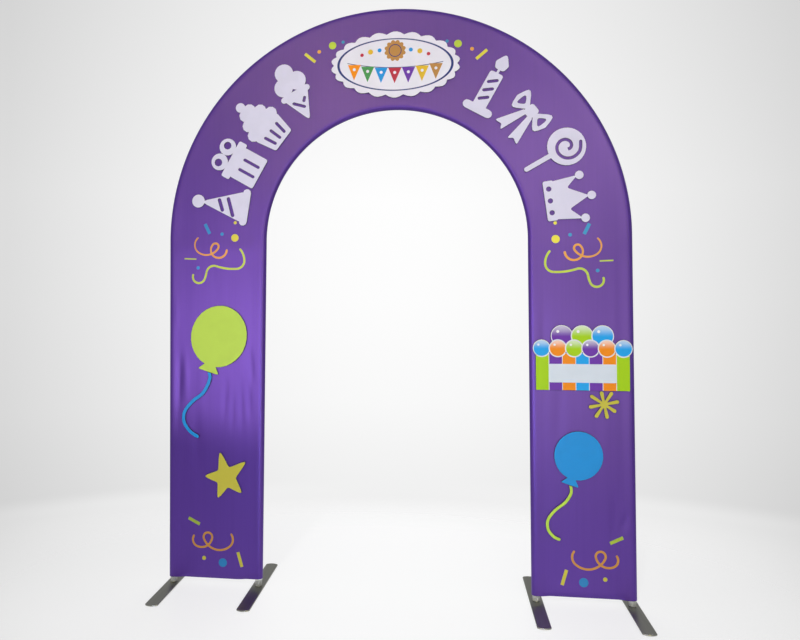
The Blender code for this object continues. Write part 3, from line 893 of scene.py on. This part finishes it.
def sleeve_skin(scale):
    """One skin over the tubes, wrapped from a flat grid: its rows run up one leg and down the other."""
    stations = [*leg_stations(-1), *arc_stations(), *reversed(leg_stations(1))]
    columns = section_columns()
    rows = len(stations) - 1
    bm = bmesh.new()
    bm.loops.layers.uv.new("UVMap")
    bmesh.ops.create_grid(bm, x_segments=AROUND, y_segments=rows, size=0.5, calc_uvs=True)
    ends = {}
    for vert in bm.verts:
        column = round((vert.co.x + 0.5) * AROUND)
        row = round((vert.co.y + 0.5) * rows)
        if row in (0, rows):
            ends[row, column] = vert
        vert.co = sleeve_point(stations[row], columns[column], scale)
    hems = [[ends[row, column] for column in range(AROUND + 1)] for row in (0, rows)]
    return bm, hems


def close_hem(bm, ring, side):
    """Sews the front to the back under a leg, and leaves a round hole for the spigot under each tube."""
    half = ROUND_STEPS // 2
    front = ring[half : half + FRONT_STEPS + 1][OPEN_FRONT[0] : OPEN_FRONT[1] + 1]
    first_back = half + FRONT_STEPS + ROUND_STEPS
    back = ring[first_back : first_back + BACK_STEPS + 1][OPEN_BACK[0] : OPEN_BACK[1] + 1]
    sewn = [edge for chain in (front, back) for edge in chain_edges(chain)]
    bmesh.ops.bridge_loops(bm, edges=sewn)
    for share, hoop in enumerate((OUTER_HOOP, INNER_HOOP)):
        centre = leg_point(hoop, side, HEM_Z)
        centre.z += hem_lift(Vector((side, 0.0, 0.0)), share, 0.0)
        rim = [edge for edge in bm.edges if edge.is_boundary and near(edge, centre)]
        circle = bmesh.ops.create_circle(
            bm, segments=32, radius=SPIGOT_RADIUS + HOLE_GAP, matrix=Matrix.Translation(centre)
        )["verts"]
        loop = {edge for vert in circle for edge in vert.link_edges}
        bmesh.ops.bridge_loops(bm, edges=[*rim, *loop])


def chain_edges(verts):
    """The edges that join each vertex to the next one."""
    pairs = zip(verts, verts[1:])
    return [edge for a, b in pairs for edge in a.link_edges if edge.other_vert(a) is b]


def near(edge, centre):
    return all((vert.co - centre).length < HOLE_REACH for vert in edge.verts)


# Operators


class ARCH_OT_cover(bpy.types.Operator):
    """Make the sleeve of printed stretch cloth over the frame"""

    bl_idname = "arch.cover"
    bl_label = "Cloth sleeve"

    def execute(self, context):
        settings = context.scene.arch_cloth
        bm, hems = sleeve_skin(settings.fold_scale)
        bmesh.ops.remove_doubles(bm, verts=bm.verts, dist=1e-6)
        hems = [[vert for vert in ring if vert.is_valid] for ring in hems]
        for ring, side in zip(hems, SIDES):
            ring.append(ring[0])
            close_hem(bm, ring, side)
        bmesh.ops.recalc_face_normals(bm, faces=bm.faces)
        for face in bm.faces:
            face.smooth = True
        materials = [cloth_material(settings), lining_material(settings)]
        cover = add_piece("cloth_sleeve", bm, materials, "cover_cloth", ["cover"])
        wall = cover.modifiers.new("Thickness", "SOLIDIFY")
        wall.thickness = settings.thickness
        wall.offset = -1.0
        wall.material_offset = 1
        return {"FINISHED"}


class ARCH_OT_tubes(bpy.types.Operator):
    """Give the frame's tubes their satin aluminium"""

    bl_idname = "arch.tubes"
    bl_label = "Frame tubes"

    def execute(self, context):
        material = metal_material("aluminium_tube", context.scene.arch_metal.tube, 0.35, (1.0, 1.0, 0.1))
        words = ("leg", "arc", "rail", "bar")
        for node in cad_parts:
            if any(word in node.split("_") for word in words):
                repaint(node, material)
        return {"FINISHED"}


class ARCH_OT_feet(bpy.types.Operator):
    """Make the flat steel feet and the spigots that stand on them"""

    bl_idname = "arch.feet"
    bl_label = "Feet and spigots"

    def execute(self, context):
        settings = context.scene.arch_metal
        steel = metal_material("foot_steel", settings.foot, 0.35, (1.0, 0.06, 1.0))
        plated = metal_material("spigot_steel", settings.spigot, 0.35, (1.0, 1.0, 0.3), 0.05)
        for hoop in (OUTER_HOOP, INNER_HOOP):
            for side, word in SIDES.items():
                node = f"{hoop.name}_foot_{word}"
                up_and_down = ((0, 0, 1), (0, 0, -1))
                softened(f"{node}_bar", node, up_and_down, settings.edge, [steel], "foot_steel")
                add_spigot(hoop, side, f"{hoop.name}_spigot_{word}", plated)
        return {"FINISHED"}


def add_spigot(hoop, side, node, material):
    """A round bar that leans as its leg does."""
    low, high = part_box(node)
    bm = bmesh.new()
    place = Matrix.Translation((0.0, 0.0, (low.z + high.z) / 2))
    bmesh.ops.create_cone(
        bm, cap_ends=True, segments=48, radius1=SPIGOT_RADIUS, radius2=SPIGOT_RADIUS, depth=high.z - low.z,
        matrix=place,
    )
    for vert in bm.verts:
        vert.co.x += leg_point(hoop, side, vert.co.z).x
    for face in bm.faces:
        face.smooth = len(face.verts) == 4
    add_piece(f"{node}_bar", bm, [material], "spigot_steel", [node])


FRONT = ((0, -1, 0),)


class ARCH_OT_motifs(bpy.types.Operator):
    """Make the eight party shapes round the arch"""

    bl_idname = "arch.motifs"
    bl_label = "Party shapes"

    def execute(self, context):
        settings = context.scene.arch_boards
        materials = plain_board("lavender_foam_board", settings.lavender, settings)
        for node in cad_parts:
            if node.startswith("motif_"):
                softened(f"{node}_board", node, FRONT, settings.edge, materials, "lavender_board")
        return {"FINISHED"}


class ARCH_OT_plaque(bpy.types.Operator):
    """Make the printed plaque over the walk-through"""

    bl_idname = "arch.plaque"
    bl_label = "Plaque"

    def execute(self, context):
        settings = context.scene.arch_boards
        materials = [plaque_material(settings), painted_shade_edge_material(settings)]
        softened("plaque_board", "header_plaque", FRONT, settings.edge, materials, "white_board")
        return {"FINISHED"}


class ARCH_OT_party_board(bpy.types.Operator):
    """Make the striped board with its two rows of balloons, and the card on it"""

    bl_idname = "arch.party_board"
    bl_label = "Party board and card"

    def execute(self, context):
        settings = context.scene.arch_boards
        stripes = [sign_material(settings), painted_shade_edge_material(settings)]
        card = board_material("card_print", settings.card)
        softened("party_sign", "party_board", FRONT, settings.edge, stripes, "lime_board")
        softened("name_card_print", "name_card", FRONT, settings.edge / 4, [card.material], "white_board")
        return {"FINISHED"}


class ARCH_OT_balloons(bpy.types.Operator):
    """Make the two balloons with their strings"""

    bl_idname = "arch.balloons"
    bl_label = "Balloons"

    def execute(self, context):
        settings = context.scene.arch_boards
        lime = board_material("lime_foam_board", settings.lime).material
        blue = board_material("blue_foam_board", settings.blue).material
        # The balloons' edges are painted dark as shade.
        cut = painted_shade_edge_material(settings)
        for node, material, slot in (
            ("balloon_left", lime, "lime_board"),
            ("balloon_left_string", blue, "blue_board"),
            ("balloon_right", blue, "blue_board"),
            ("balloon_right_string", lime, "lime_board"),
        ):
            softened(f"{node}_board", node, FRONT, settings.edge, [material, cut], slot)
        return {"FINISHED"}


class ARCH_OT_star_and_flower(bpy.types.Operator):
    """Make the star and the flower"""

    bl_idname = "arch.star_and_flower"
    bl_label = "Star and flower"

    def execute(self, context):
        settings = context.scene.arch_boards
        materials = plain_board("yellow_foam_board", settings.yellow, settings)
        for node in ("star", "flower"):
            softened(f"{node}_board", node, FRONT, settings.edge, materials, "yellow_board")
        return {"FINISHED"}


class ARCH_OT_stage(bpy.types.Operator):
    """Set the studio: floor, backdrop, lights and camera"""

    bl_idname = "arch.stage"
    bl_label = "Studio"

    def execute(self, context):
        scene = context.scene
        settings = scene.arch_stage
        scene.view_settings.view_transform = "Standard"
        add_backdrop()
        add_floor()
        for lamp in LAMPS:
            hide_from(add_light(lamp, settings.lamps), "glossy")
        for lamp in GLEAMS:
            hide_from(add_light(lamp, settings.lamps), "diffuse")
        add_flag()
        add_air(scene, settings.air)
        add_camera(scene)
        return {"FINISHED"}


Lamp = namedtuple("Lamp", "name place target size power colour spread")

CAMERA_PLACE = (0.1955, -2.6069, 1.1466)
CAMERA_TILT = 0.031
CAMERA_TURN = 0.1231
CAMERA_LENS = 29.7
CAMERA_SHIFT = (0.0489, -0.0511)
KEY_PLACE = (-0.9, -5.0, 3.6)
LAMPS = (
    Lamp("key", KEY_PLACE, (0.1, 0.0, 1.1), 0.4, 12.3, (1.0, 1.0, 1.0), 60),
    Lamp("fill", (1.3, -3.4, 1.0), (0.6, 0.0, 0.9), 1.0, 3.8, (1.0, 1.0, 1.0), 120),
    Lamp("back", (0.0, 2.8, 2.2), (0.0, 0.0, 1.2), 2.4, 25.0, (0.95, 0.97, 1.0), 180),
)
FLAG_SIZE = (0.6, 0.3)
FLAG_PLACE = (-1.205, -2.3, 0.607)
FLAG_TURN = math.radians(8)
# Lamps that only show as soft reflections in the satin cloth, the metal and the boards
GLEAMS = (
    Lamp("gleam_key", KEY_PLACE, (0.1, 0.0, 1.1), 0.8, 11.8, (1.0, 0.94, 0.26), 60),
    Lamp("gleam_left", (-1.35, -3.0, 0.8), (-0.7, 0.0, 1.0), 0.06, 40.0, (1.0, 0.78, 0.97), 180),
    Lamp("gleam_low", (-0.1, -3.0, 0.45), (0.0, 0.0, 0.45), 0.3, 5.0, (0.5, 0.58, 1.0), 60),
    Lamp("gleam_right_high", (1.2, -3.0, 2.4), (0.6, 0.0, 1.8), 0.3, 32.0, (1.0, 0.95, 0.55), 180),
    Lamp("gleam_right_low", (1.05, -3.0, 0.6), (0.7, 0.0, 0.8), 0.3, 22.0, (1.0, 0.92, 0.48), 180),
)


BACKDROP_RADIUS = 9.0
# Brightness of the backdrop by height. Its ends are the rise or fall from eye level for each metre away
GLOW_LOW = -0.55
GLOW_HIGH = 0.5
GLOW_STOPS = (
    (0.04, 0.965), (0.0905, 0.99), (0.148, 0.98), (0.2057, 0.915), (0.2419, 0.866), (0.2638, 0.875),
    (0.3067, 0.896), (0.379, 0.939), (0.5238, 0.973), (0.6676, 0.983), (0.9486, 0.888), (1.0, 0.87),
)
# Where the backdrop is brightest and how far out it is darkest, as x for each metre away, and how much it
# darkens there on the wall and on the floor
GLOW_X = -0.064
GLOW_HALF_WIDTH = 0.514
WALL_FADE = 0.27
FLOOR_FADE = 0.19
# Heights between which the floor's darkening comes in, above its near end and below the wall
NEAR_FLOOR = (0.03, 0.13)
FAR_FLOOR = (0.272, 0.25)


def add_backdrop():
    """A pale glowing dome that only the camera sees, with a soft dip of painted shade where floor and wall
    meet.
    """
    bm = bmesh.new()
    place = Matrix.Translation(CAMERA_PLACE)
    bmesh.ops.create_uvsphere(bm, u_segments=64, v_segments=32, radius=BACKDROP_RADIUS, matrix=place)
    bmesh.ops.reverse_faces(bm, faces=bm.faces)
    shader = Shader("studio_glow", roughness=1.0, base_color=(0.0, 0.0, 0.0, 1.0), emission_strength=1.0)
    x, y, z = shader.split(shader.vector_math("SUBTRACT", shader.place(), CAMERA_PLACE))
    run = (x * x + y * y).math("SQRT")
    height = (z / run - GLOW_LOW) / (GLOW_HIGH - GLOW_LOW)
    rise = shader.node("ShaderNodeValToRGB", {"stops": GLOW_STOPS}, {0: height})
    sideways = (x / run - GLOW_X) / GLOW_HALF_WIDTH
    square = (sideways * sideways).least(1.0)
    on_wall = square * WALL_FADE
    on_floor = square * square * FLOOR_FADE
    floor_share = shader.ease(height, *FAR_FLOOR) * shader.ease(height, *NEAR_FLOOR)
    fade = on_wall + (on_floor - on_wall) * floor_share
    shader.drive(emission_color=shader.mix(fade, rise, (0.0, 0.0, 0.0)))
    hide_from(add_stage_mesh("backdrop", bm, shader.material), "diffuse", "glossy", "transmission", "shadow")


def hide_from(obj, *rays):
    for ray in rays:
        setattr(obj, f"visible_{ray}", False)


FLOOR_HALF_SIZE = 3.0
# Half sizes of the oval in which the floor fades out
FLOOR_OVAL = (2.1, 1.3)
# The floor's painted glow, and how it falls off to both sides of its brightest line
FLOOR_LEVEL = 0.75
FLOOR_X = 0.02
FLOOR_REACH = 1.68
FLOOR_FALL = 0.2


def add_floor():
    """A pale floor that glows with a painted pool of light, takes the arch's soft shadows and fades into the
    backdrop all round.
    """
    bm = bmesh.new()
    place = Matrix.Translation((0.0, 0.0, -0.0005))
    bmesh.ops.create_grid(bm, x_segments=1, y_segments=1, size=FLOOR_HALF_SIZE, matrix=place)
    grey = (0.25, 0.25, 0.25, 1.0)
    shader = Shader("studio_floor", roughness=0.5, base_color=grey, emission_strength=1.0)
    x, y, z = shader.split(shader.place())
    across, deep = x / FLOOR_OVAL[0], y / FLOOR_OVAL[1]
    far = (across * across + deep * deep).math("SQRT")
    sideways = (x - FLOOR_X) / FLOOR_REACH
    level = FLOOR_LEVEL - (sideways * sideways * FLOOR_FALL).least(0.3)
    shader.drive(alpha=shader.ease(far, 1.0, 0.5), emission_color=level)
    hide_from(add_stage_mesh("floor", bm, shader.material), "diffuse")


def add_flag():
    """A card that only the lamps see. It keeps the left gleam off the bottom of the left leg."""
    bm = bmesh.new()
    size = Matrix.Diagonal((*FLAG_SIZE, 1.0, 1.0))
    turn = Matrix.Rotation(FLAG_TURN, 4, "Y") @ Matrix.Rotation(math.pi / 2, 4, "X")
    place = Matrix.Translation(FLAG_PLACE) @ turn @ size
    bmesh.ops.create_grid(bm, x_segments=1, y_segments=1, size=0.5, matrix=place)
    shader = Shader("black_card", roughness=1.0, base_color=(0.0, 0.0, 0.0, 1.0))
    hide_from(add_stage_mesh("flag", bm, shader.material), "camera", "diffuse", "glossy")


def add_stage_mesh(name, bm, material):
    """Puts a piece of the studio in the scene, apart from the arch."""
    mesh = bpy.data.meshes.new(name)
    bm.to_mesh(mesh)
    bm.free()
    mesh.materials.append(material)
    mesh.shade_smooth()
    obj = bpy.data.objects.new(name, mesh)
    bpy.context.scene.collection.objects.link(obj)
    obj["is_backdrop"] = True
    return obj


def add_light(lamp, share):
    """A round soft box that looks at its target. `share` scales its power."""
    light = bpy.data.lights.new(lamp.name, "AREA")
    light.shape = "DISK"
    light.size = lamp.size
    light.energy = lamp.power * share
    light.color = lamp.colour
    light.spread = math.radians(lamp.spread)
    obj = bpy.data.objects.new(lamp.name, light)
    obj.location = lamp.place
    obj.rotation_euler = (Vector(lamp.target) - Vector(lamp.place)).to_track_quat("-Z", "Y").to_euler()
    bpy.context.scene.collection.objects.link(obj)
    return obj


def add_air(scene, strength):
    """White light from all round, without a picture in it."""
    world = bpy.data.worlds.new("studio_air")
    world.use_nodes = True
    air = world.node_tree.nodes["Background"]
    air.inputs["Color"].default_value = (1.0, 1.0, 1.0, 1.0)
    air.inputs["Strength"].default_value = strength
    scene.world = world


def add_camera(scene):
    """The camera, at the photograph's place and angle."""
    camera = bpy.data.cameras.new("camera")
    camera.lens = CAMERA_LENS
    camera.sensor_width = 36.0
    camera.shift_x, camera.shift_y = CAMERA_SHIFT
    eye = bpy.data.objects.new("camera", camera)
    eye.location = CAMERA_PLACE
    eye.rotation_euler = (math.pi / 2 + CAMERA_TILT, 0.0, CAMERA_TURN)
    scene.collection.objects.link(eye)
    scene.camera = eye


class ARCH_PT_panel(bpy.types.Panel):
    bl_label = "Party arch"
    bl_space_type = "VIEW_3D"
    bl_region_type = "UI"
    bl_category = "Arch"

    def draw(self, context):
        for operator in OPERATORS:
            self.layout.operator(operator.bl_idname)


SETTINGS = {
    "arch_cloth": ArchClothSettings,
    "arch_boards": ArchBoardSettings,
    "arch_metal": ArchMetalSettings,
    "arch_stage": ArchStageSettings,
}
OPERATORS = (
    ARCH_OT_stage,
    ARCH_OT_tubes,
    ARCH_OT_feet,
    ARCH_OT_cover,
    ARCH_OT_motifs,
    ARCH_OT_plaque,
    ARCH_OT_party_board,
    ARCH_OT_balloons,
    ARCH_OT_star_and_flower,
)


def register():
    for kind in (*SETTINGS.values(), *OPERATORS, ARCH_PT_panel):
        bpy.utils.register_class(kind)
    for name, kind in SETTINGS.items():
        setattr(bpy.types.Scene, name, PointerProperty(type=kind))


def unregister():
    for name in SETTINGS:
        delattr(bpy.types.Scene, name)
    for kind in (ARCH_PT_panel, *reversed(OPERATORS), *SETTINGS.values()):
        bpy.utils.unregister_class(kind)


def save_sizes():
    """Works out the box of the CAD and of what is shown, as plain lists, but keeps them nowhere."""
    boxes = {"cad": CAD_BOX, "shown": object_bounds()}
    sizes = {name: [list(corner) for corner in box] for name, box in boxes.items()}


def main():
    register()
    for operator in OPERATORS:
        module, name = operator.bl_idname.split(".")
        getattr(getattr(bpy.ops, module), name)()
    save_sizes()


if __name__ == "__main__":
    main()
